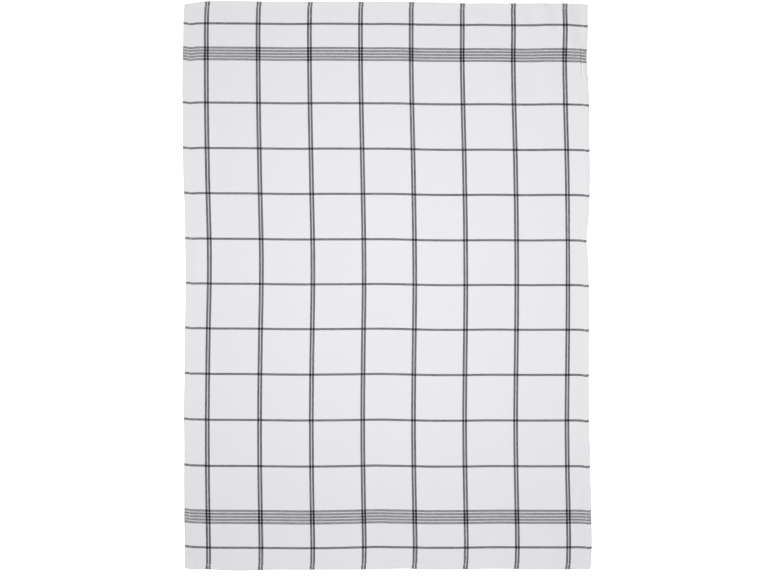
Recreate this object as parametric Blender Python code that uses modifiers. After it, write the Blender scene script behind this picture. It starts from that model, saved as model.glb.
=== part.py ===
"""A cotton tea towel laid out flat: one woven panel with a narrow double hem turned under on all
four sides, in the slightly uneven lie of cloth that has been smoothed out by hand.

+X runs across the towel, +Y along it and +Z up. The origin is on the surface that the towel
rests on, under the middle of its outline. Lengths are metres, and the tables are in millimetres.
"""

import bmesh
import bpy
import numpy as np

MM = 0.001

# Driving dimensions
WIDTH = 500 * MM
LENGTH = 700 * MM
PANEL_THICK = 1.0 * MM
HEM_THICK = 2.0 * MM
HEM_WIDTH = 8.0 * MM
HEM_STEP = 1.0 * MM  # run in which the underside rises from the hem to the panel
HEM_SINK = 26.0 * MM  # run in which the panel sinks from the hem's top to the surface
FOLD_RADIUS = 0.7 * MM  # roundness of the hem's folded edge
SHARP_ANGLE = np.radians(70)  # the rim's corner turns more sharply than this, and nothing else does
MARGIN = 28.1 * MM  # from a side edge to the nearest woven line along the towel
END_MARGIN = 27.4 * MM  # from an end to the nearest woven line across the towel

# How far the threads that run along the towel lie sideways of their straight place, as
# millimetres, at sections from the bottom end to the top end: for those on the left and on the
# right, the bow added in the middle, and how far the section has slipped along the towel.
SECTION_COLUMNS = ("along", "left", "middle", "right", "slip")
SECTIONS = (
    (-350, 3.1, 0.4, 2.2, -1.8),
    (-320, 3.0, 0.6, 2.9, -1.6),
    (-285, 2.4, 0.5, 2.5, -1.0),
    (-225, 1.6, 0.5, 1.3, 0.3),
    (-165, 1.5, 0.4, 0.8, 1.0),
    (-110, 2.0, 0.3, 1.3, 1.4),
    (-55, 2.8, 0.3, 1.9, 1.3),
    (0, 3.9, 0.2, 2.1, 0.5),
    (45, 4.0, -0.1, 2.1, -0.1),
    (110, 2.4, 0.0, 1.5, -0.1),
    (165, 1.3, 0.0, 0.5, -0.3),
    (225, 0.5, -0.1, -1.1, -0.2),
    (285, 0.3, -0.4, -2.0, -0.6),
    (320, 0.4, -0.7, -1.5, -0.7),
    (350, 1.4, -0.6, -2.4, -0.9),
)

# How far the threads that run across the towel lie along it from their straight place, from the
# left side to the right: at the top edge, near the top, the bow added halfway down, near the
# bottom and at the bottom edge. "spread" is the sideways shift that one thread along the towel
# keeps over its whole length.
ACROSS_COLUMNS = ("across", "spread", "top_edge", "top", "middle", "bottom", "bottom_edge")
ACROSS = (
    (-250, 0.0, -2.7, 1.9, 0.5, 2.3, 0.5),
    (-241, -0.3, -1.3, 1.2, 0.7, 1.9, 0.2),
    (-233, -0.6, 0.1, 2.0, 0.7, 1.5, 0.2),
    (-218, -0.8, 1.3, 2.2, 0.6, 0.9, 0.0),
    (-200, -0.5, 1.4, 2.1, 0.6, 0.8, -1.2),
    (-170, 0.0, 1.2, 1.9, 0.6, 0.7, -1.3),
    (-140, 0.3, 0.3, 1.5, 0.5, 0.4, -0.3),
    (-112, 0.5, 0.3, 1.3, 0.5, 0.1, -0.5),
    (-78, 0.6, 0.5, 1.8, 0.3, 0.3, -0.3),
    (-45, 0.7, 0.5, 1.5, 0.2, 1.0, -0.3),
    (-10, 0.4, 0.4, 1.2, 0.2, 1.8, 0.3),
    (14, 0.1, 0.4, 1.3, 0.0, 1.4, 1.0),
    (50, 0.0, -0.1, 0.4, -0.2, 0.8, 0.0),
    (92, -0.1, -1.3, 0.1, -0.2, 0.8, 0.0),
    (125, -0.2, -1.3, 0.2, -0.2, 1.3, 0.9),
    (176, -0.3, -1.5, -0.4, -0.2, 1.2, 0.2),
    (215, -0.1, -1.6, 0.2, -0.3, 1.2, -0.1),
    (238, -0.1, -2.0, -0.7, -0.2, 1.4, 0.5),
    (246, 0.0, -2.1, -0.9, -0.3, 1.0, 0.8),
    (250, 0.0, -2.2, -1.1, -0.3, 1.8, 1.0),
)

# Where a side edge is drawn in or bulges out, in millimetres towards +X, beside the threads
# along the towel: the side, the middle of the stretch, half its length, and how far.
PULL_COLUMNS = ("side", "along", "reach", "shift")
PULLS = (
    (-1, 338, 22, 0.5),
    (-1, 308, 16, 0.4),
    (-1, 240, 30, -0.8),
    (-1, 150, 45, -1.2),
    (-1, 50, 28, -0.7),
    (-1, -10, 30, 0.2),
    (-1, -118, 22, 0.5),
    (-1, -204, 26, 0.7),
    (-1, -300, 20, -0.4),
    (1, 345, 14, 0.3),
    (1, 283, 15, -1.2),
    (1, 228, 26, 1.3),
    (1, 150, 16, 0.3),
    (1, 112, 14, -0.5),
    (1, 57, 30, -4.1),
    (1, 6, 14, -0.7),
    (1, -50, 130, -2.0),
    (1, -203, 11, 0.7),
    (1, -254, 10, 0.7),
    (1, -308, 26, 0.45),
)
LEFT_EDGE_SHIFT = -1.7

# Soft ridges that stand up off the surface, in millimetres: from one end to the other, the
# height and half the width. The towel was folded along its middle, and was smoothed by hand
# towards the top right corner.
RIDGE_COLUMNS = ("x0", "y0", "x1", "y1", "height", "half_width")
RIDGES = (
    (8, 250, 6, -70, 0.8, 13),
    (1, -165, 2, -362, 1.7, 21),
    (50, -185, 47, -362, 1.3, 18),
    (-8, 362, 0, 275, 1.5, 15),
    (54, 362, 70, 270, 1.7, 19),
    (119, 352, 112, 282, 1.3, 15),
    (141, 295, 135, 222, 1.7, 17),
    (158, 345, 196, 288, 1.2, 16),
    (200, 292, 207, 228, 1.3, 18),
    (192, 358, 206, 300, 2.4, 18),
    (222, 358, 228, 278, 3.2, 16),
    (243, 268, 246, 12, 1.4, 14),
    (-238, 84, -241, -22, 1.2, 15),
    (-236, -250, -243, -345, 1.1, 16),
)
RIDGE_TAPER = 0.3  # share of a ridge's length in which each of its ends dies out

# Spacing of the sheet's own grid, finer where it is creased, in millimetres
SPAN_COLUMNS = ("start", "end", "step")
SPANS_ACROSS = ((-228, -24, 17), (-24, 72, 8), (72, 228, 12))
SPANS_ALONG = ((-328, -168, 20), (-168, 222, 30), (222, 328, 15))

COTTON_WHITE = (0.80, 0.80, 0.82, 1.0)
COTTON_ROUGHNESS = 0.9


def column(rows, names, name):
    """One named column of a table in millimetres, as an array in metres."""
    return np.array([row[names.index(name)] for row in rows]) * MM


def named(rows, names):
    """The rows of a table as dictionaries by the names of its columns."""
    return [dict(zip(names, row, strict=True)) for row in rows]


def smooth(share):
    """An S-curve from 0 to 1 as share goes from 0 to 1, level at both ends."""
    share = np.clip(share, 0, 1)
    return share * share * (3 - 2 * share)


def curve(stations, values, at):
    """A smooth curve through the stations: cubic pieces, each station's slope from its neighbours."""
    slope = np.gradient(values, stations)
    low = np.clip(np.searchsorted(stations, at) - 1, 0, len(stations) - 2)
    run = stations[low + 1] - stations[low]
    share = np.clip((at - stations[low]) / run, 0, 1)
    rest = 1 - share
    level = rest * rest * (1 + 2 * share) * values[low] + share * share * (3 - 2 * share) * values[low + 1]
    return level + run * share * rest * (rest * slope[low] - share * slope[low + 1])


def section(name, along):
    """A column of SECTIONS, read at places along the towel."""
    stations = column(SECTIONS, SECTION_COLUMNS, "along")
    return curve(stations, column(SECTIONS, SECTION_COLUMNS, name), along)


def thread(name, across):
    """A column of ACROSS, read at places across the towel."""
    stations = column(ACROSS, ACROSS_COLUMNS, "across")
    return curve(stations, column(ACROSS, ACROSS_COLUMNS, name), across)


def edge_shift(side, along):
    """Sideways shift of one side edge: a bell-shaped pull for each row of PULLS."""
    total = np.full_like(along, LEFT_EDGE_SHIFT * MM if side < 0 else 0.0)
    for pull in named(PULLS, PULL_COLUMNS):
        if pull["side"] == side:
            off = (along - pull["along"] * MM) / (pull["reach"] * MM)
            total += pull["shift"] * MM * np.exp(-off * off)
    return total


def plan(across, along):
    """Where each point of the woven cloth lies on the surface.

    Sideways: the left and right bows, mixed in proportion across the towel, the middle's bow on
    top, and the edge pulls, which fade in over the margin. Along: the top and bottom drift, mixed
    in proportion along the towel, the middle's on top, and the drift of the end edges, which
    takes over along the end margin.
    """
    outer_line = WIDTH / 2 - MARGIN
    share = np.clip(across / (2 * outer_line) + 0.5, 0, 1)
    x = across + thread("spread", across)
    x += section("left", along) * (1 - share) + section("right", along) * share
    x += section("middle", along) * 4 * share * (1 - share)
    for side in (-1, 1):
        x += np.clip((side * across - outer_line) / MARGIN, 0, 1) * edge_shift(side, along)

    end_line = LENGTH / 2 - END_MARGIN
    share = np.clip(along / (2 * end_line) + 0.5, 0, 1)
    woven = section("slip", along) + thread("top", across) * share + thread("bottom", across) * (1 - share)
    woven += thread("middle", across) * 4 * share * (1 - share)
    ends = np.where(along > 0, thread("top_edge", across), thread("bottom_edge", across))
    fade = np.clip((np.abs(along) - end_line) / END_MARGIN, 0, 1)
    return x, along + woven * (1 - fade) + ends * fade


def ridges(across, along):
    """Height of the soft ridges: a cosine bump across each ridge's line, dying out at its ends."""
    total = np.zeros_like(across)
    for ridge in named(RIDGES, RIDGE_COLUMNS):
        start = np.array((ridge["x0"], ridge["y0"])) * MM
        reach = np.array((ridge["x1"], ridge["y1"])) * MM - start
        span = np.hypot(*reach)
        way = reach / span
        run = ((across - start[0]) * way[0] + (along - start[1]) * way[1]) / span
        off = np.abs((along - start[1]) * way[0] - (across - start[0]) * way[1])
        ends = smooth(run / RIDGE_TAPER) * smooth((1 - run) / RIDGE_TAPER)
        bump = 0.5 + 0.5 * np.cos(np.pi * np.clip(off / (ridge["half_width"] * MM), 0, 1))
        total += ridge["height"] * MM * ends * bump
    return total


def inset(across, along):
    """Distance in from the nearest edge of the cloth."""
    return np.minimum(WIDTH / 2 - np.abs(across), LENGTH / 2 - np.abs(along))


def grid_places(half, spans):
    """Grid places from -half to half: the hem's own places at both ends, and even spans between."""
    from_edge = np.array((0, HEM_WIDTH, HEM_WIDTH + HEM_STEP))
    inner = [np.arange(span["start"], span["end"], span["step"]) * MM for span in spans]
    last = (spans[-1]["end"] * MM,)
    return np.concatenate((-half + from_edge, *inner, last, (half - from_edge)[::-1]))


def build_sheet(name):
    """The towel's upper face as a grid on the cloth's own places, with a weight on the hem."""
    columns = grid_places(WIDTH / 2, named(SPANS_ACROSS, SPAN_COLUMNS))
    rows = grid_places(LENGTH / 2, named(SPANS_ALONG, SPAN_COLUMNS))
    grid = bmesh.new()
    bmesh.ops.create_grid(grid, x_segments=len(columns) - 1, y_segments=len(rows) - 1, size=1)
    places = np.array([vert.co for vert in grid.verts])
    across = columns[np.rint((places[:, 0] + 1) / 2 * (len(columns) - 1)).astype(int)]
    along = rows[np.rint((places[:, 1] + 1) / 2 * (len(rows) - 1)).astype(int)]

    x, y = plan(across, along)
    x -= (x.max() + x.min()) / 2
    y -= (y.max() + y.min()) / 2
    sunk = smooth((inset(across, along) - HEM_WIDTH - HEM_STEP) / HEM_SINK)
    z = HEM_THICK + (PANEL_THICK - HEM_THICK) * sunk + ridges(across, along)
    for vert, place in zip(grid.verts, np.stack((x, y, z), axis=1), strict=True):
        vert.co = place

    mesh = bpy.data.meshes.new(name)
    grid.to_mesh(mesh)
    grid.free()
    mesh.shade_smooth()
    sheet = bpy.data.objects.new(name, mesh)
    hem = sheet.vertex_groups.new(name="hem")
    on_hem = np.flatnonzero(inset(across, along) < HEM_WIDTH + HEM_STEP / 2)
    hem.add(on_hem.tolist(), 1.0, "REPLACE")
    return sheet


def thicken(sheet):
    """One layer thick downwards on the panel and the folded hem's thickness on the hem."""
    wall = sheet.modifiers.new("cloth", "SOLIDIFY")
    wall.thickness = HEM_THICK
    wall.offset = -1
    wall.vertex_group = "hem"
    wall.thickness_vertex_group = PANEL_THICK / HEM_THICK
    wall.use_even_offset = False

    fold = sheet.modifiers.new("folded edge", "BEVEL")
    fold.width = FOLD_RADIUS
    fold.segments = 2
    fold.limit_method = "ANGLE"
    fold.angle_limit = SHARP_ANGLE


def cotton():
    """Bleached cotton: white with a cool cast, and matt."""
    material = bpy.data.materials.new("cotton")
    material.use_nodes = True
    shader = material.node_tree.nodes["Principled BSDF"]
    shader.inputs["Base Color"].default_value = COTTON_WHITE
    shader.inputs["Roughness"].default_value = COTTON_ROUGHNESS
    return material


def main():
    for old in list(bpy.data.objects):
        bpy.data.objects.remove(old, do_unlink=True)
    parts = bpy.data.collections.new("tea_towel")
    bpy.context.scene.collection.children.link(parts)
    towel = build_sheet("towel")
    parts.objects.link(towel)
    towel.data.materials.append(cotton())
    thicken(towel)


main()
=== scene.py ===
"""A cotton tea towel laid out flat: the woven cloth with its turned hems, and their stitching.

+X runs across the towel, +Y along it and +Z up from the surface. Lengths are metres unless a
name or a note says millimetres. "across" and "along" are places on the woven cloth itself, from
its middle, and the lie of the cloth turns them into places on the surface.
"""

import bpy
import numpy as np
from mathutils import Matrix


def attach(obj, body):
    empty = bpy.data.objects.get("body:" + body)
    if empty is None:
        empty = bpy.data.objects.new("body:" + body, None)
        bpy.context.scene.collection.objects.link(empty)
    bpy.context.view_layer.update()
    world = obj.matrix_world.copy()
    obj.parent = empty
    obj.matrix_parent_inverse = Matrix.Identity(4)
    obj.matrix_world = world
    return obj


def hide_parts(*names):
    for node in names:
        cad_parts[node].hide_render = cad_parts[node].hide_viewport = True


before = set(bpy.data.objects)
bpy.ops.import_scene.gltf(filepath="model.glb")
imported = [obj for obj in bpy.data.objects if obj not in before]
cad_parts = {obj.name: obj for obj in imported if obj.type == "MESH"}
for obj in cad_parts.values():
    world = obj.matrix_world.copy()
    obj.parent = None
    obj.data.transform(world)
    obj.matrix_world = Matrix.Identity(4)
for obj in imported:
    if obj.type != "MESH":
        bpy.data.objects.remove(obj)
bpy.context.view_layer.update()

MM = 0.001
TINY = MM * MM  # a length that keeps a division finite

# The cloth, as the solid has it
WIDTH = 500 * MM
LENGTH = 700 * MM
HEM_WIDTH = 8.0 * MM
MARGIN = 28.1 * MM  # from a side edge to the nearest woven line along the towel
END_MARGIN = 27.4 * MM  # from an end to the nearest woven line across the towel

# Thicknesses, in the finer form that shows
CLOTH_THICK = 0.62 * MM
HEM_STACK = 1.5 * MM  # of a hem's layers, pressed together
CORNER_STACK = 0.35 * MM  # more at the corners, where the ends' hems lie under the sides'
LIFT = 0.05 * MM  # between the cloth and the surface under it
FOLD_ROUND = 1.0 * MM  # in from the edge to where the fold has its full thickness
CORNER_RADIUS = 2.5 * MM  # of the outline
STEP_RUN = 0.4 * MM  # in which the underside steps up from the hem to the panel
HEM_SINK = 40 * MM  # in which the panel sinks from the hem's top to the surface
HEM_TWIST = 0.55 * MM  # how far the hems have slid along themselves where they were turned
TWIST_RUN = 4 * MM  # in which that slide grows, from the hem's inner edge outwards
CORNER_RUN = 4 * MM  # in which the corners' extra layers die out beside a side hem
OVERLAP_RUN = 12 * MM  # in which a side hem sinks back to the surface, past an end's hem
OUTLINE_SAMPLES = 201  # places each way on the cloth, from which its middle is worked out

# Stitching
STITCH_INSET = 6.3 * MM  # from the edge to the row of stitches
STITCH_PITCH = 3.1 * MM
STITCH_LENGTH = 2.6 * MM
STITCH_THICK = 0.44 * MM
STITCH_TIP = 0.55  # thickness of a stitch at its tips, as a share of its thickness
STITCH_PROUD = 0.3  # how far the front stitches' middles lie above the cloth, in thicknesses
STITCH_DIVE = 1.0  # how far their tips lie inside it, in thicknesses
BACK_DEPTH = 0.4  # how far the back stitches' middles lie inside the cloth, in thicknesses
BACK_DIVE = 0.5  # how much further in their tips are
STITCH_ARCH = 3  # power of the arch from a stitch's middle to its tips
STITCH_RINGS = 7
STITCH_SIDES = 6
STITCH_SINK = 0.12 * MM  # depth of the furrow that the stitches pull in
FURROW_WIDTH = 0.75 * MM
PUCKER_HEIGHT = 0.16 * MM
PUCKER_LENGTH = 9.5 * MM
PUCKER_MEAN = 0.55  # mean strength of the puckers, which comes and goes along a hem
PUCKER_REACH = 5 * MM  # inside the hem, to where the puckers have died out
PUCKER_RUN = 6 * MM  # in which they die out
OTHER_SIDE = 110 * MM  # shift of the side hems' puckers, opposite on the two sides
OTHER_END = 170 * MM  # and of the end hems', opposite at the two ends

# Weave: the repeat of the check, and the yarns in it, both ways
CHECK_ACROSS = 63.4 * MM  # from one pair of lines to the next
CHECK_ALONG = 56.0 * MM  # from one single line to the next
YARNS_ACROSS = 170
YARNS_ALONG = 140
OTHER_YARNS = 4000.5  # sets the random values of the yarns across apart from those along

# Woven lines, in yarns
PAIR_HALF = 4.5  # from a pair's middle to the middle of either of its lines
PAIR_YARNS = 7
SINGLE_YARNS = 7
SINGLES_END = 600  # the single lines lie nearer to the towel's middle than this
END_LINE = 806  # from the towel's middle to the line near each end
BAND_MIDDLE = 713  # from the towel's middle to the middle of each band
BAND_LINES = 5
BAND_PITCH = 9
BAND_YARNS = 7

# How much fuller the dyed yarns lie than the white ones that they cross, as a share of the weave's
# height: of the pairs, the single lines and the bands
PAIR_FULLNESS = 0.56
LINE_FULLNESS = 0.43
BAND_FULLNESS = 0.23

# Finish
COTTON_WHITE = (0.7945, 0.79, 0.811, 1.0)
COTTON_BLACK = (0.024, 0.0215, 0.029, 1.0)
COTTON_ROUGHNESS = (0.86, 0.92)  # on top of a yarn, and between yarns
COTTON_GLOSS = 0.25
COTTON_FUZZ = 0.12
FUZZ_ROUGHNESS = 0.5
YARN_VARIATION = 0.02  # in lightness, from yarn to yarn
YARN_BULGE = 0.3  # in height, from yarn to yarn, as a share of the weave's height
YARN_SHADE = 0.10  # loss of light between yarns
YARN_RELIEF = 0.07 * MM
YARN_ROUND = 0.4  # power that flattens the tops of the yarns
MEAN_ROUND = 0.82  # mean height of the weave
HEM_PAINTED_LIGHT = 0.01  # painted light: a gain in lightness where the hem's layers back the cloth and send more light back
THREAD_PAINTED_SHADE = (0.82, 0.88)  # painted shade: lightness between the plies, and on them
THREAD_TINT = (1.0, 1.0, 1.015)
THREAD_ROUGHNESS = (0.55, 0.65)
THREAD_GLOSS = 0.4
THREAD_FUZZ = 0.1
PLY_PITCH = 0.45 * MM
PLY_RELIEF = 0.03 * MM
PLY_STRENGTH = 0.6
FLOOR_WHITE = (0.9, 0.9, 0.9, 1.0)
FLOOR_ROUGHNESS = 0.9
FLOOR_GLOW = (0.45, 0.8)  # round the towel, and far from it
GLOW_PLACES = (0.6, 1.8)  # distances from the origin between which it grows

# Light and camera
LAMP_HEIGHT = 1.2
LAMP_POWER = 12.85
LAMP_WIDTH = 0.65
LAMP_PLACE = (37 * MM, 34 * MM)
SKY = 0.28  # strength of the light from all round
CAMERA_AIM = (4.2 * MM, -8.3 * MM)  # from the cloth's own middle
CAMERA_HEIGHT = 2.4
VIEW_WIDTH = 0.963  # width of the surface that the picture shows
SENSOR = 36.0  # mm
FLOOR_HALF = 60.0  # half a side of the surface under the towel, far past every view of it

# How far the threads that run along the towel lie sideways of their straight place, as
# millimetres, at sections from the bottom end to the top end: for those on the left and on the
# right, the bow added in the middle, and how far the section has slipped along the towel.
SECTION_COLUMNS = ("along", "left", "middle", "right", "slip")
SECTIONS = (
    (-350, 3.1, 0.4, 2.2, -1.8),
    (-320, 3.0, 0.6, 2.9, -1.6),
    (-285, 2.4, 0.5, 2.5, -1.0),
    (-225, 1.6, 0.5, 1.3, 0.3),
    (-165, 1.5, 0.4, 0.8, 1.0),
    (-110, 2.0, 0.3, 1.3, 1.4),
    (-55, 2.8, 0.3, 1.9, 1.3),
    (0, 3.9, 0.2, 2.1, 0.5),
    (45, 4.0, -0.1, 2.1, -0.1),
    (110, 2.4, 0.0, 1.5, -0.1),
    (165, 1.3, 0.0, 0.5, -0.3),
    (225, 0.5, -0.1, -1.1, -0.2),
    (285, 0.3, -0.4, -2.0, -0.6),
    (320, 0.4, -0.7, -1.5, -0.7),
    (350, 1.4, -0.6, -2.4, -0.9),
)

# How far the threads that run across the towel lie along it from their straight place, from the
# left side to the right: at the top edge, near the top, the bow added halfway down, near the
# bottom and at the bottom edge. "spread" is the sideways shift that one thread along the towel
# keeps over its whole length.
ACROSS_COLUMNS = ("across", "spread", "top_edge", "top", "middle", "bottom", "bottom_edge")
ACROSS = (
    (-250, 0.0, -2.7, 1.9, 0.5, 2.3, 0.5),
    (-241, -0.3, -1.3, 1.2, 0.7, 1.9, 0.2),
    (-233, -0.6, 0.1, 2.0, 0.7, 1.5, 0.2),
    (-218, -0.8, 1.3, 2.2, 0.6, 0.9, 0.0),
    (-200, -0.5, 1.4, 2.1, 0.6, 0.8, -1.2),
    (-170, 0.0, 1.2, 1.9, 0.6, 0.7, -1.3),
    (-140, 0.3, 0.3, 1.5, 0.5, 0.4, -0.3),
    (-112, 0.5, 0.3, 1.3, 0.5, 0.1, -0.5),
    (-78, 0.6, 0.5, 1.8, 0.3, 0.3, -0.3),
    (-45, 0.7, 0.5, 1.5, 0.2, 1.0, -0.3),
    (-10, 0.4, 0.4, 1.2, 0.2, 1.8, 0.3),
    (14, 0.1, 0.4, 1.3, 0.0, 1.4, 1.0),
    (50, 0.0, -0.1, 0.4, -0.2, 0.8, 0.0),
    (92, -0.1, -1.3, 0.1, -0.2, 0.8, 0.0),
    (125, -0.2, -1.3, 0.2, -0.2, 1.3, 0.9),
    (176, -0.3, -1.5, -0.4, -0.2, 1.2, 0.2),
    (215, -0.1, -1.6, 0.2, -0.3, 1.2, -0.1),
    (238, -0.1, -2.0, -0.7, -0.2, 1.4, 0.5),
    (246, 0.0, -2.1, -0.9, -0.3, 1.0, 0.8),
    (250, 0.0, -2.2, -1.1, -0.3, 1.8, 1.0),
)

# Where a side edge is drawn in or bulges out, in millimetres towards +X, beside the threads
# along the towel: the side, the middle of the stretch, half its length, and how far.
PULL_COLUMNS = ("side", "along", "reach", "shift")
PULLS = (
    (-1, 338, 22, 0.5),
    (-1, 308, 16, 0.4),
    (-1, 240, 30, -0.8),
    (-1, 150, 45, -1.2),
    (-1, 50, 28, -0.7),
    (-1, -10, 30, 0.2),
    (-1, -118, 22, 0.5),
    (-1, -204, 26, 0.7),
    (-1, -300, 20, -0.4),
    (1, 345, 14, 0.3),
    (1, 283, 15, -1.2),
    (1, 228, 26, 1.3),
    (1, 150, 16, 0.3),
    (1, 112, 14, -0.5),
    (1, 57, 30, -4.1),
    (1, 6, 14, -0.7),
    (1, -50, 130, -2.0),
    (1, -203, 11, 0.7),
    (1, -254, 10, 0.7),
    (1, -308, 26, 0.45),
)
LEFT_EDGE_SHIFT = -1.7  # of the left edge, all along it

# Soft ridges that stand up off the surface, in millimetres: from one end to the other, the
# height and half the width. The towel was folded along its middle, and was smoothed by hand
# towards the top right corner.
RIDGE_COLUMNS = ("x0", "y0", "x1", "y1", "height", "half_width")
RIDGES = (
    (8, 250, 6, -70, 0.8, 13),
    (1, -165, 2, -362, 1.7, 21),
    (50, -185, 47, -362, 1.3, 18),
    (-8, 362, 0, 275, 1.5, 15),
    (54, 362, 70, 270, 1.7, 19),
    (119, 352, 112, 282, 1.3, 15),
    (141, 295, 135, 222, 1.7, 17),
    (158, 345, 196, 288, 1.2, 16),
    (200, 292, 207, 228, 1.3, 18),
    (192, 358, 206, 300, 2.4, 18),
    (222, 358, 228, 278, 3.2, 16),
    (243, 268, 246, 12, 1.4, 14),
    (-238, 84, -241, -22, 1.2, 15),
    (-236, -250, -243, -345, 1.1, 16),
)
RIDGE_TAPER = 0.3  # share of a ridge's length in which each of its ends dies out

# Small sharp creases near the right edge, where the hem was pinched: rows as in RIDGES, with a
# height below zero for a trough
CREASES = (
    (246.0, 328, 246.0, 298, 0.6, 2.2),
    (248.3, 328, 248.3, 298, -0.4, 1.6),
    (241.5, 310, 245.5, 238, 2.0, 9),
    (241.5, 300, 241.0, 248, 0.7, 3.0),
    (244.2, 300, 243.5, 250, -2.5, 2.2),
    (247.2, 298, 247.3, 242, 1.3, 1.8),
    (235.0, -226, 229.5, -272, -0.9, 4.0),
)

# Broad swells of the cloth, the mean of slanting sine waves: wavelengths across and along, in
# millimetres, and phase
SWELL_HEIGHT = 0.22 * MM
SWELL_COLUMNS = ("across", "along", "phase")
SWELLS = (
    (410, 290, 0.4),
    (-230, 350, 2.1),
    (160, -520, 4.4),
    (120, 190, 5.6),
)

# The hems' puckers along their run, as sums of sine waves: how the ripples' phase wanders, and how
# their strength comes and goes. Length of one radian in millimetres, phase, and size.
WAVE_COLUMNS = ("radian", "phase", "size")
PUCKER_WANDER = ((31, 0.0, 1.9), (12.7, 0.8, 1.1))
PUCKER_STRENGTH = ((53, 1.3, 0.45),)

# Places of the mesh's lines in from an edge, in millimetres: close at the fold, the stitching
# and the step, then opening out
EDGE_LINES = (0, 0.08, 0.3, 0.65, 1, 2.5, 4, 5.5, 6.3, 7.1, 7.8, 8, 8.4, 8.6, 9.4, 10.8, 13, 15, 17.5, 20)
INNER_CELLS_ACROSS = 148
INNER_CELLS_ALONG = 224


# ---------------------------------------------------------------- the lie of the cloth


def named(rows, names):
    """The rows of a table as dictionaries by the names of its columns."""
    return [dict(zip(names, row, strict=True)) for row in rows]


def smooth(share):
    """An S-curve from 0 to 1 as share goes from 0 to 1, level at both ends."""
    share = np.clip(share, 0, 1)
    return share * share * (3 - 2 * share)


def bow(share):
    """A parabola over a share from 0 to 1: nothing at both ends, and 1 halfway."""
    return 4 * share * (1 - share)


def curve(table, names, name, at):
    """A smooth curve through one column of a table: cubic pieces, slopes from the neighbours."""
    rows = np.array(table) * MM
    stations, values = rows[:, 0], rows[:, names.index(name)]
    slope = np.gradient(values, stations)
    low = np.clip(np.searchsorted(stations, at) - 1, 0, len(stations) - 2)
    run = stations[low + 1] - stations[low]
    share = np.clip((at - stations[low]) / run, 0, 1)
    rest = 1 - share
    level = rest * rest * (1 + 2 * share) * values[low] + share * share * (3 - 2 * share) * values[low + 1]
    return level + run * share * rest * (rest * slope[low] - share * slope[low + 1])


def section(name, along):
    """A column of SECTIONS, read at places along the towel."""
    return curve(SECTIONS, SECTION_COLUMNS, name, along)


def thread(name, across):
    """A column of ACROSS, read at places across the towel."""
    return curve(ACROSS, ACROSS_COLUMNS, name, across)


def edge_shift(side, along):
    """Sideways shift of one side edge: a bell-shaped pull for each row of PULLS, on top of the
    left edge's own shift."""
    total = np.full_like(along, LEFT_EDGE_SHIFT * MM if side < 0 else 0.0)
    for pull in named(PULLS, PULL_COLUMNS):
        if pull["side"] == side:
            off = (along - pull["along"] * MM) / (pull["reach"] * MM)
            total += pull["shift"] * MM * np.exp(-off * off)
    return total


def plan(across, along):
    """Where each point of the cloth lies on the surface, as in the solid.

    Sideways: the left and right bows, mixed in proportion across the towel, the middle's bow on
    top, and the edge pulls, which fade in over the margin. Along: the top and bottom drift, mixed
    in proportion along the towel, the middle's on top, and the drift of the end edges, which
    takes over along the end margin.
    """
    outer_line = WIDTH / 2 - MARGIN
    share = np.clip(across / (2 * outer_line) + 0.5, 0, 1)
    x = across + thread("spread", across)
    x += section("left", along) * (1 - share) + section("right", along) * share
    x += section("middle", along) * bow(share)
    for side in (-1, 1):
        x += np.clip((side * across - outer_line) / MARGIN, 0, 1) * edge_shift(side, along)

    end_line = LENGTH / 2 - END_MARGIN
    share = np.clip(along / (2 * end_line) + 0.5, 0, 1)
    woven = section("slip", along) + thread("top", across) * share + thread("bottom", across) * (1 - share)
    woven += thread("middle", across) * bow(share)
    ends = np.where(along > 0, thread("top_edge", across), thread("bottom_edge", across))
    fade = np.clip((np.abs(along) - end_line) / END_MARGIN, 0, 1)
    return x, along + woven * (1 - fade) + ends * fade


def from_side(across):
    """Distance in from the nearer side edge."""
    return WIDTH / 2 - np.abs(across)


def from_end(along):
    """Distance in from the nearer end."""
    return LENGTH / 2 - np.abs(along)


def inset(across, along):
    """Distance in from the nearest edge of the cloth."""
    return np.minimum(from_side(across), from_end(along))


def twist(across, along):
    """How far the turned hems have slid along themselves, all clockwise seen from above.

    An S-curve from the hem's inner edge outwards. Gives the shift across, of the ends' hems, and
    the shift along, of the sides' hems.
    """
    ends = HEM_TWIST * smooth((HEM_WIDTH - from_end(along)) / TWIST_RUN)
    sides = HEM_TWIST * smooth((HEM_WIDTH - from_side(across)) / TWIST_RUN)
    return np.sign(along) * ends, -np.sign(across) * sides


# ---------------------------------------------------------------- heights


def ridges(across, along, rows):
    """Height of soft ridges: a cosine bump across each ridge's line, dying out at its ends."""
    total = np.zeros_like(across)
    for ridge in named(rows, RIDGE_COLUMNS):
        start = np.array((ridge["x0"], ridge["y0"])) * MM
        reach = np.array((ridge["x1"], ridge["y1"])) * MM - start
        span = np.hypot(*reach)
        way = reach / span
        run = ((across - start[0]) * way[0] + (along - start[1]) * way[1]) / span
        off = np.abs((along - start[1]) * way[0] - (across - start[0]) * way[1])
        ends = smooth(run / RIDGE_TAPER) * smooth((1 - run) / RIDGE_TAPER)
        bump = 0.5 + 0.5 * np.cos(np.pi * np.clip(off / (ridge["half_width"] * MM), 0, 1))
        total += ridge["height"] * MM * ends * bump
    return total


def swells(across, along):
    """Broad low swells: the mean of a few slanting sine waves, from 0 to SWELL_HEIGHT."""
    waves = [
        np.sin(2 * np.pi / MM * (across / swell["across"] + along / swell["along"]) + swell["phase"])
        for swell in named(SWELLS, SWELL_COLUMNS)
    ]
    return SWELL_HEIGHT * (0.5 + 0.5 * np.mean(waves, axis=0))


def sines(rows, run):
    """A sum of sine waves along a run, one for each row."""
    waves = named(rows, WAVE_COLUMNS)
    return sum(wave["size"] * np.sin(run / (wave["radian"] * MM) + wave["phase"]) for wave in waves)


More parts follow.
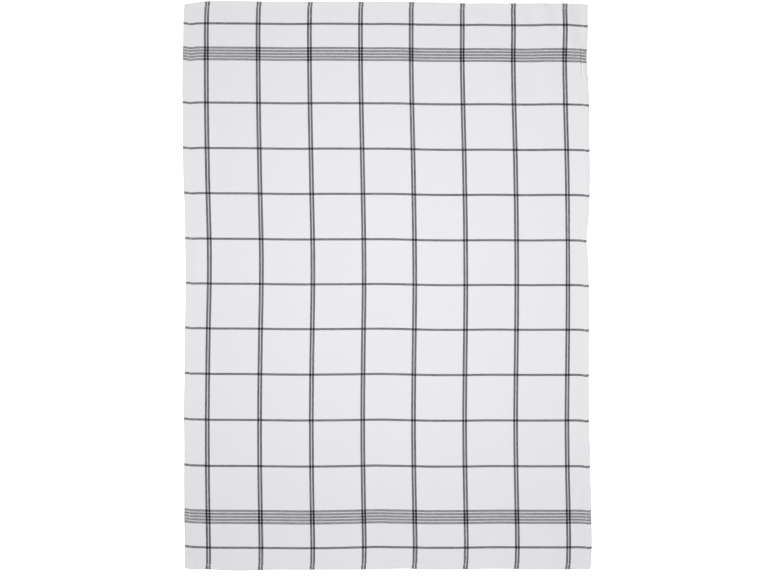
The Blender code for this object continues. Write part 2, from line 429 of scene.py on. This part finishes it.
def pucker(run, inwards):
    """Ripples along one hem: a sine wave whose phase wanders and whose strength comes and goes,
    dying out just inside the hem."""
    wave = 0.5 + 0.5 * np.sin(2 * np.pi * run / PUCKER_LENGTH + sines(PUCKER_WANDER, run))
    strength = PUCKER_MEAN + sines(PUCKER_STRENGTH, run)
    return PUCKER_HEIGHT * wave * strength * smooth((HEM_WIDTH + PUCKER_REACH - inwards) / PUCKER_RUN)


def puckers(across, along):
    """The small uneven ripples of all four hems, as the stitching gathers them. Each hem starts at
    another place of the same waves, so that no two are alike."""
    sides = pucker(along + OTHER_SIDE * np.sign(across), from_side(across))
    ends = pucker(across + OTHER_END * np.sign(along), from_end(along))
    return np.maximum(sides, ends)


def furrow(across, along):
    """The furrow under the stitches: a bell-shaped trough, one row of stitches wide."""
    return STITCH_SINK * np.exp(-(((inset(across, along) - STITCH_INSET) / FURROW_WIDTH) ** 2))


def overlap(across, along):
    """How far the ends' hems lift the sides' hems, which lie over them at the corners: all of
    CORNER_STACK within an end's hem, and sinking to nothing past it. An S-curve both ways."""
    on_side = smooth((HEM_WIDTH + CORNER_RUN / 2 - from_side(across)) / CORNER_RUN)
    return CORNER_STACK * on_side * (1 - smooth((from_end(along) - HEM_WIDTH) / OVERLAP_RUN))


def faces(across, along):
    """Heights of the front and the back of the cloth.

    Both ride on the ridges, swells and creases. The front is the hem's stack, sinking to one layer
    inside it. The back is level under the hem, with a step where a side's hem passes over an end's,
    and one layer under the front elsewhere. At the edge the two close in a half-ellipse, which is
    the fold.
    """
    inwards = inset(across, along)
    base = LIFT + ridges(across, along, RIDGES) + swells(across, along) + ridges(across, along, CREASES)
    sunk = smooth((inwards - HEM_WIDTH) / HEM_SINK)
    lifted = overlap(across, along)
    front = base + HEM_STACK + (CLOTH_THICK - HEM_STACK) * sunk + lifted
    front += puckers(across, along) - furrow(across, along)
    past_end = smooth((from_end(along) - HEM_WIDTH) / STEP_RUN)
    under_hem = base + furrow(across, along) + lifted * past_end
    inside = smooth((inwards - HEM_WIDTH) / STEP_RUN)
    back = under_hem * (1 - inside) + (front - CLOTH_THICK) * inside
    back = np.maximum(back, LIFT)

    closing = np.clip(1 - inwards / FOLD_ROUND, 0, 1)
    half = (front - back) / 2 * np.sqrt(1 - closing * closing)
    middle = (front + back) / 2
    return middle + half, middle - half


def centre():
    """The middle of the outline on the surface, which the solid has at the origin."""
    across = np.linspace(-WIDTH / 2, WIDTH / 2, OUTLINE_SAMPLES)
    along = np.linspace(-LENGTH / 2, LENGTH / 2, OUTLINE_SAMPLES)
    x, y = plan(*np.meshgrid(across, along, indexing="ij"))
    return (x.max() + x.min()) / 2, (y.max() + y.min()) / 2


MIDDLE = centre()


def rounded(across, along):
    """The cloth's places with its square corners drawn in to round ones: within a corner's square,
    each point keeps its direction from the square's inner corner, and its distance there becomes
    the longer of its two sides."""
    out_across = np.clip(CORNER_RADIUS - from_side(across), 0, None)
    out_along = np.clip(CORNER_RADIUS - from_end(along), 0, None)
    straight = np.maximum(np.hypot(out_across, out_along), TINY)
    drawn = 1 - np.maximum(out_across, out_along) / straight
    in_corner = np.minimum(out_across, out_along) > 0
    across = across - np.sign(across) * out_across * drawn * in_corner
    return across, along - np.sign(along) * out_along * drawn * in_corner


def place(across, along):
    """Places on the surface of points of the cloth, in the object's frame."""
    x, y = plan(*rounded(across, along))
    slide_x, slide_y = twist(across, along)
    return x + slide_x - MIDDLE[0], y + slide_y - MIDDLE[1]


# ---------------------------------------------------------------- meshes


def make_object(name, points, loops, sizes, uv=None):
    """A smooth-shaded mesh object from whole arrays: points, corners of the faces, and face sizes.

    The map, where there is one, gives a place for each point.
    """
    mesh = bpy.data.meshes.new(name)
    mesh.vertices.add(len(points))
    mesh.vertices.foreach_set("co", points.astype(np.float32).ravel())
    mesh.loops.add(len(loops))
    mesh.loops.foreach_set("vertex_index", loops.astype(np.int32))
    starts = np.concatenate(((0,), np.cumsum(sizes)[:-1]))
    mesh.polygons.add(len(sizes))
    mesh.polygons.foreach_set("loop_start", starts.astype(np.int32))
    mesh.polygons.foreach_set("use_smooth", np.ones(len(sizes), bool))
    if uv is not None:
        layer = mesh.uv_layers.new(name="OFBake")
        layer.data.foreach_set("uv", uv[loops].astype(np.float32).ravel())
    mesh.update(calc_edges=True)
    mesh.validate()
    piece = bpy.data.objects.new(name, mesh)
    bpy.context.scene.collection.objects.link(piece)
    return piece


def lines(half, inner_cells):
    """Places of the mesh's lines from one edge to the other: EDGE_LINES at both ends and even
    steps between them."""
    edge = np.array(EDGE_LINES) * MM
    inner = np.linspace(-half + edge[-1], half - edge[-1], inner_cells + 1)[1:-1]
    return np.concatenate((-half + edge, inner, (half - edge)[::-1]))


def build_cloth():
    """The woven cloth: a front and a back skin on one grid of the cloth's own places, which share
    their outermost line of points, so that the fold closes round the edge."""
    columns, rows = lines(WIDTH / 2, INNER_CELLS_ACROSS), lines(LENGTH / 2, INNER_CELLS_ALONG)
    across, along = np.meshgrid(columns, rows, indexing="ij")
    x, y = place(across, along)
    front_z, back_z = faces(across, along)
    flat = np.stack(((across / WIDTH + 0.5).ravel(), (along / LENGTH + 0.5).ravel()), axis=1)

    front = np.arange(across.size).reshape(across.shape)
    back = front.copy()
    inner = (slice(1, -1), slice(1, -1))
    inner_count = front[inner].size
    back[inner] = across.size + np.arange(inner_count).reshape(front[inner].shape)
    points = np.concatenate(
        (
            np.stack((x, y, front_z), axis=-1).reshape(-1, 3),
            np.stack((x[inner], y[inner], back_z[inner]), axis=-1).reshape(-1, 3),
        )
    )
    uv = np.concatenate((flat, flat.reshape(across.shape + (2,))[inner].reshape(-1, 2)))

    def quads(index):
        corners = (index[:-1, :-1], index[1:, :-1], index[1:, 1:], index[:-1, 1:])
        return np.stack(corners, axis=-1).reshape(-1, 4)

    corners = np.concatenate((quads(front), quads(back)[:, ::-1]))
    return make_object("cloth", points, corners.ravel(), np.full(len(corners), 4), uv)


def stitch_row(side, is_end, on_back):
    """One row of stitches beside one edge, as arrays of rings.

    Each stitch is a short round thread along the hem: its middle lies on the cloth, and by a cubic
    arch its tips dip into it and grow thinner.
    """
    half_run, half_far = (WIDTH / 2, LENGTH / 2) if is_end else (LENGTH / 2, WIDTH / 2)
    count = int(2 * (half_run - STITCH_INSET) / STITCH_PITCH)
    middles = (np.arange(count) - (count - 1) / 2) * STITCH_PITCH
    local = np.linspace(-1, 1, STITCH_RINGS)
    run = middles[:, None] + local * STITCH_LENGTH / 2
    fixed = np.full_like(run, side * (half_far - STITCH_INSET))
    across, along = (run, fixed) if is_end else (fixed, run)
    x, y = place(across, along)
    front_z, back_z = faces(across, along)

    dip = np.abs(local) ** STITCH_ARCH
    if on_back:
        z = back_z + STITCH_THICK * (BACK_DEPTH + BACK_DIVE * dip)
    else:
        z = front_z + STITCH_THICK * (STITCH_PROUD * (1 - dip) - STITCH_DIVE * dip)
    radius = STITCH_THICK / 2 * (1 - (1 - STITCH_TIP) * dip)[:, None]
    turn = 2 * np.pi * np.arange(STITCH_SIDES) / STITCH_SIDES
    sideways = radius * np.cos(turn) * np.ones_like(run)[..., None]
    out_x, out_y = (0, 1) if is_end else (-1, 0)
    z = z[..., None] + radius * np.sin(turn)
    return np.stack((x[..., None] + out_x * sideways, y[..., None] + out_y * sideways, z), axis=-1)


def build_stitching():
    """All the stitches of the hems as one mesh, front and back, round all four sides."""
    edges = [(side, is_end) for side in (-1, 1) for is_end in (False, True)]
    tubes = np.concatenate([stitch_row(*edge, on_back) for edge in edges for on_back in (False, True)])
    count, rings, sides = tubes.shape[:3]
    index = np.arange(count * rings * sides).reshape(count, rings, sides)
    around = np.roll(index, -1, axis=2)
    walls = np.stack((index[:, :-1], around[:, :-1], around[:, 1:], index[:, 1:]), axis=-1).reshape(-1)
    caps = np.concatenate((index[:, 0, ::-1].reshape(-1), index[:, -1].reshape(-1)))
    sizes = np.concatenate((np.full(len(walls) // 4, 4), np.full(len(caps) // sides, sides)))
    return make_object("hem_stitching", tubes.reshape(-1, 3), np.concatenate((walls, caps)), sizes)


def build_floor():
    """A plain square surface under the towel."""
    corners = np.array(((-1, -1, 0), (1, -1, 0), (1, 1, 0), (-1, 1, 0)), float) * (FLOOR_HALF, FLOOR_HALF, 1)
    return make_object("floor", corners, np.arange(4), np.array((4,)))


# ---------------------------------------------------------------- materials


class Value:
    """A number, colour or vector that varies over a surface. Arithmetic on it adds Math nodes."""

    def __init__(self, shader, socket):
        self.shader, self.socket = shader, socket

    def output(self, name):
        """Another output of the same node."""
        return Value(self.shader, self.socket.node.outputs[name])

    def __add__(self, other):
        return self.shader.math("ADD", self, other)

    def __sub__(self, other):
        return self.shader.math("SUBTRACT", self, other)

    def __rsub__(self, other):
        return self.shader.math("SUBTRACT", other, self)

    def __mul__(self, other):
        return self.shader.math("MULTIPLY", self, other)

    def __mod__(self, other):
        return self.shader.math("FLOORED_MODULO", self, other)

    def __pow__(self, other):
        return self.shader.math("POWER", self, other)

    def __lt__(self, other):
        return self.shader.math("LESS_THAN", self, other)

    def __gt__(self, other):
        return self.shader.math("GREATER_THAN", self, other)

    def __abs__(self):
        return self.shader.math("ABSOLUTE", self)

    def floor(self):
        return self.shader.math("FLOOR", self)

    def sin(self):
        return self.shader.math("SINE", self)

    __radd__, __rmul__ = __add__, __mul__


class Shader:
    """One material's nodes, all made by make()."""

    def __init__(self, name):
        self.material = bpy.data.materials.new(name)
        self.material.use_nodes = True
        self.tree = self.material.node_tree

    def make(self, kind, settings, sockets, output=0):
        """A node of a kind: its settings first, then the values or links of its sockets."""
        node = self.tree.nodes.new(kind)
        for name, value in settings.items():
            setattr(node, name, value)
        self.fill(node, sockets)
        return Value(self, node.outputs[output])

    def fill(self, node, sockets):
        for name, value in sockets.items():
            if isinstance(value, Value):
                self.tree.links.new(value.socket, node.inputs[name])
            else:
                node.inputs[name].default_value = value

    def pair(self, kind, settings, output):
        """The first two numbers of a node's vector."""
        vector = self.make(kind, settings, {}, output)
        first = self.make("ShaderNodeSeparateXYZ", {}, {"Vector": vector})
        return first, first.output("Y")

    def math(self, operation, *values):
        return self.make("ShaderNodeMath", {"operation": operation}, dict(enumerate(values)))

    def mix(self, share, first, second):
        """A colour between two. The Mix node numbers its colours 6 and 7, and its result 2."""
        return self.make("ShaderNodeMix", {"data_type": "RGBA"}, {"Factor": share, 6: first, 7: second}, 2)

    def lit(self, colour, light):
        """A colour made lighter or darker."""
        return self.make("ShaderNodeVectorMath", {"operation": "SCALE"}, {0: colour, "Scale": light})

    def noise(self, number):
        """An even random value from 0 to 1 for each whole number."""
        return self.make("ShaderNodeTexWhiteNoise", {"noise_dimensions": "1D"}, {"W": number})

    def relief(self, height, depth, strength=1.0):
        """A bump from a height between 0 and 1, for the Normal socket."""
        return self.make("ShaderNodeBump", {}, {"Strength": strength, "Distance": depth, "Height": height})

    def finish(self, **sockets):
        """The material, with the sockets of its Principled BSDF filled."""
        named_sockets = {name.replace("_", " "): value for name, value in sockets.items()}
        self.fill(self.tree.nodes["Principled BSDF"], named_sockets)
        return self.material


def between(ends, share):
    """A value between two numbers, by a share from 0 to 1."""
    return ends[0] + (ends[1] - ends[0]) * share


def within(distance, yarns):
    """1 within half a number of yarns of a line's middle, and 0 elsewhere."""
    return abs(distance) < yarns / 2


def from_nearest(place, pitch):
    """Distance from the nearest of the lines that repeat at a pitch from 0."""
    return (place + pitch / 2) % pitch - pitch / 2


def woven_cotton():
    """Plain-woven cotton: white yarns both ways, with black ones in the places of the check.

    The cloth's own places come from its map. Whole yarn numbers say which yarn a point is on
    both ways, and the product of two sines, one for each way, says which of the two is on top:
    above zero the yarn along the towel, below zero the one across.
    """
    shader = Shader("cotton")
    u, v = shader.pair("ShaderNodeUVMap", {"uv_map": "OFBake"}, "UV")
    across, along = u - 0.5, v - 0.5
    warp_place = across * (WIDTH / CHECK_ACROSS * YARNS_ACROSS)
    weft_place = along * (LENGTH / CHECK_ALONG * YARNS_ALONG) + 0.5
    warp, weft = warp_place.floor() + 0.5, weft_place.floor()

    # Lines along the towel: pairs, one line either side of each pair's middle
    from_pair = abs(from_nearest(warp - YARNS_ACROSS / 2, YARNS_ACROSS))
    black_warp = within(from_pair - PAIR_HALF, PAIR_YARNS)

    # Lines across the towel: singles at each repeat of the check, one near each end, and a band
    # of five between them
    out = abs(weft)
    single = within(from_nearest(weft, YARNS_ALONG), SINGLE_YARNS) * (out < SINGLES_END)
    line_weft = shader.math("MAXIMUM", single, within(out - END_LINE, SINGLE_YARNS))
    from_band = out - BAND_MIDDLE
    band_weft = within(from_nearest(from_band, BAND_PITCH), BAND_YARNS)
    band_weft *= within(from_band, BAND_LINES * BAND_PITCH)
    black_weft = line_weft + band_weft

    # Which yarn is on top: dyed yarns are a little fuller, so they cover more than half
    crossing = (warp_place * np.pi).sin() * (weft_place * np.pi).sin()
    fuller = PAIR_FULLNESS * black_warp - LINE_FULLNESS * line_weft - BAND_FULLNESS * band_weft
    on_top = (crossing + fuller) > 0
    dyed = on_top * black_warp + (1 - on_top) * black_weft

    # Each yarn has its own slight strength of colour, with a little shade where yarns go under
    own = on_top * shader.noise(warp) + (1 - on_top) * shader.noise(weft + OTHER_YARNS)
    roundness = abs(crossing) ** YARN_ROUND
    inwards = shader.math("MINIMUM", (0.5 - abs(across)) * WIDTH, (0.5 - abs(along)) * LENGTH)
    light = 1 + YARN_VARIATION * (own - 0.5) + YARN_SHADE * (roundness - MEAN_ROUND)
    # Painted light: the hem's band is made a little lighter, for the light that its extra layers send back
    light += HEM_PAINTED_LIGHT * (inwards < HEM_WIDTH)
    return shader.finish(
        Base_Color=shader.lit(shader.mix(dyed, COTTON_WHITE, COTTON_BLACK), light),
        Roughness=between(COTTON_ROUGHNESS, 1 - roundness),
        Normal=shader.relief(roundness + YARN_BULGE * own, YARN_RELIEF),
        Specular_IOR_Level=COTTON_GLOSS,
        Sheen_Weight=COTTON_FUZZ,
        Sheen_Roughness=FUZZ_ROUGHNESS,
    )


def sewing_thread():
    """White sewing thread, faintly shiny: two plies twisted round each other, as slanting sine
    waves on the object's own coordinates."""
    shader = Shader("sewing thread")
    x, y = shader.pair("ShaderNodeTexCoord", {}, "Object")
    plies = ((x + y) * (2 * np.pi / PLY_PITCH)).sin() * 0.5 + 0.5
    return shader.finish(
        # Painted shade: the thread's colour is darker between its plies
        Base_Color=shader.lit(THREAD_TINT, between(THREAD_PAINTED_SHADE, plies)),
        Roughness=between(THREAD_ROUGHNESS, plies),
        Normal=shader.relief(plies, PLY_RELIEF, PLY_STRENGTH),
        Specular_IOR_Level=THREAD_GLOSS,
        Sheen_Weight=THREAD_FUZZ,
    )


def studio_white():
    """The surface under the towel: plain white, with a glow that grows far from the lamp, so that
    it reads as an even backdrop from any side."""
    shader = Shader("studio white")
    x, y = shader.pair("ShaderNodeTexCoord", {}, "Object")
    near, far = GLOW_PLACES
    away = ((x * x + y * y) ** 0.5 - near) * (1 / (far - near))
    share = shader.make("ShaderNodeClamp", {}, {"Value": away})
    return shader.finish(
        Base_Color=FLOOR_WHITE,
        Roughness=FLOOR_ROUGHNESS,
        Emission_Color=shader.lit((1, 1, 1), between(FLOOR_GLOW, share)),
        Emission_Strength=1.0,
    )


# ---------------------------------------------------------------- light and camera


def build_light():
    """One round soft lamp straight above, and a weak even light from all round."""
    lamp = bpy.data.lights.new("overhead", "AREA")
    lamp.shape = "DISK"
    lamp.size = LAMP_WIDTH
    lamp.energy = LAMP_POWER
    holder = bpy.data.objects.new("overhead", lamp)
    holder.location = (*LAMP_PLACE, LAMP_HEIGHT)
    holder.visible_camera = False
    bpy.context.scene.collection.objects.link(holder)
    world = bpy.data.worlds.new("studio")
    world.use_nodes = True
    world.node_tree.nodes["Background"].inputs["Strength"].default_value = SKY
    world.node_tree.nodes["Background"].inputs["Color"].default_value = (1, 1, 1, 1)
    bpy.context.scene.world = world
    bpy.context.scene.view_settings.view_transform = "Standard"


def build_camera():
    """A camera straight above, with the photo's framing."""
    data = bpy.data.cameras.new("camera")
    data.sensor_width = SENSOR
    data.lens = SENSOR * CAMERA_HEIGHT / VIEW_WIDTH
    camera = bpy.data.objects.new("camera", data)
    camera.location = (CAMERA_AIM[0] - MIDDLE[0], CAMERA_AIM[1] - MIDDLE[1], CAMERA_HEIGHT)
    bpy.context.scene.collection.objects.link(camera)
    bpy.context.scene.camera = camera


def main():
    build_camera()
    build_light()
    cloth = build_cloth()
    cloth.data.materials.append(woven_cotton())
    stitching = build_stitching()
    stitching.data.materials.append(sewing_thread())
    floor = build_floor()
    floor.data.materials.append(studio_white())

    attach(cloth, "root")
    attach(stitching, "root")
    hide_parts("towel")


main()
